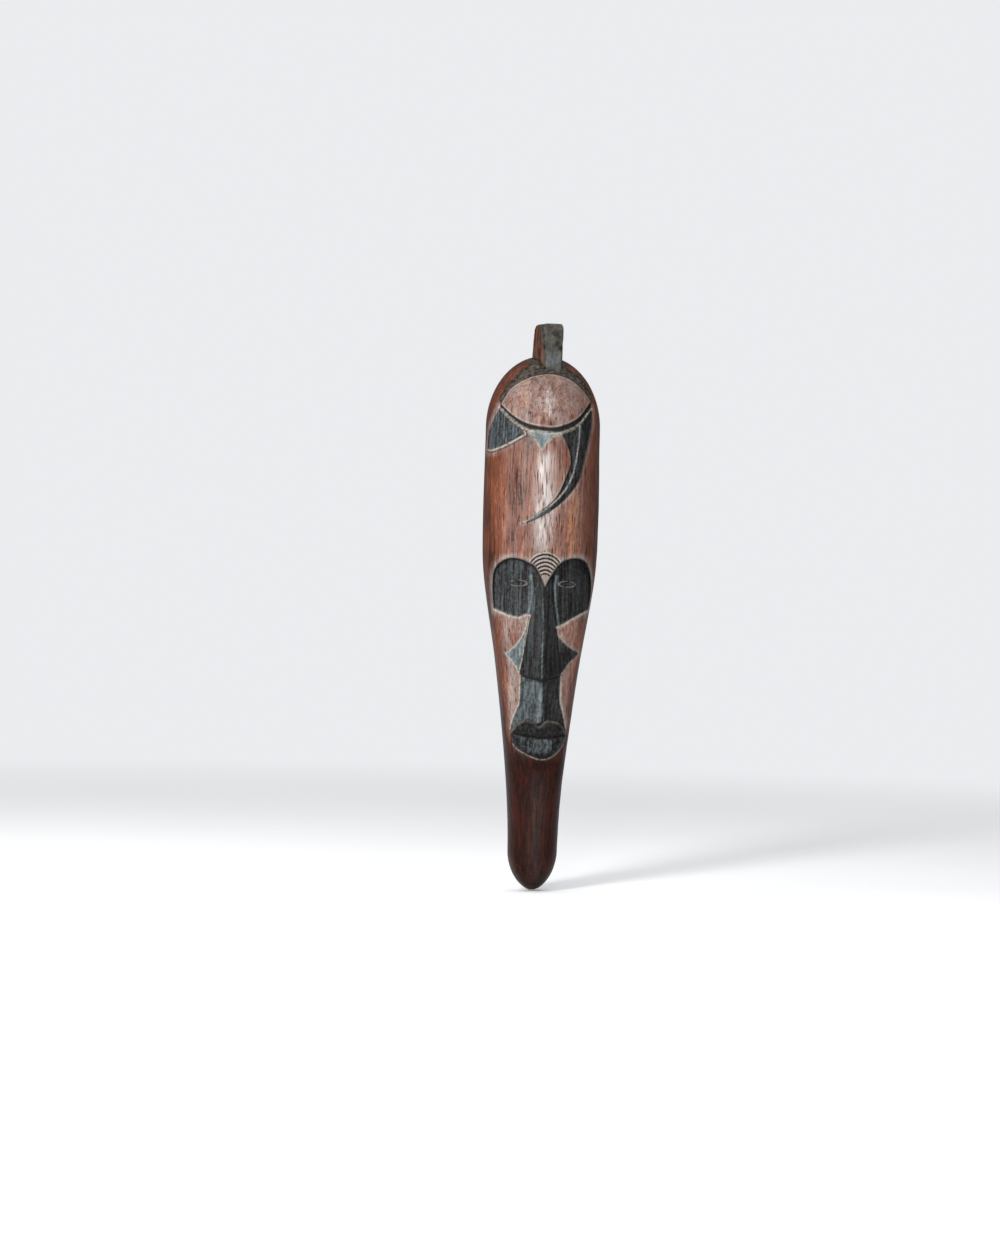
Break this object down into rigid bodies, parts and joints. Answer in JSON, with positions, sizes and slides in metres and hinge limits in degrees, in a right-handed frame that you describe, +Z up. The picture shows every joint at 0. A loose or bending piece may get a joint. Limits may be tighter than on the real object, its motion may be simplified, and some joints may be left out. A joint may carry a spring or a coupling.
{
  "type": "carved wall mask",
  "caption": "Tall carved wooden wall mask with a hollowed back, a pegged crest block on its crown and a swinging wire ring to hang it by.",
  "frame": {"origin": "the hanging point: where the nail in the wall meets the top of the hanger ring, in the plane of the wall", "axes": "+Z up from chin to crest, -Y out of the face, +X to the viewer's right; the flat back lies in the plane y = 0"},
  "size_m": [0.2042, 0.1265, 0.9993],
  "materials": {
    "carved_wood": "red-brown stained hardwood, waxed, with black stained fields",
    "crest_wood": "dark olive stained hardwood, waxed",
    "peg_wood": "bare pale hardwood",
    "hanger_steel": "zinc plated steel",
    "screw_brass": "brass plated steel"
  },
  "bodies": {
    "mask": {"mask_body": "carved_wood", "crest_block": "crest_wood", "crest_peg_front": "peg_wood", "crest_peg_rear": "peg_wood", "hanger_strap": "hanger_steel", "hanger_screw_upper": "screw_brass", "hanger_screw_lower": "screw_brass"},
    "ring": {"hanger_ring": "hanger_steel"}
  },
  "joints": [
    {"name": "ring_swing", "type": "hinge", "parent": "mask", "child": "ring", "pos_m": [0, -0.0061, -0.0185], "axis": [-1, 0, 0], "range_deg": [-4, 170]}
  ]
}
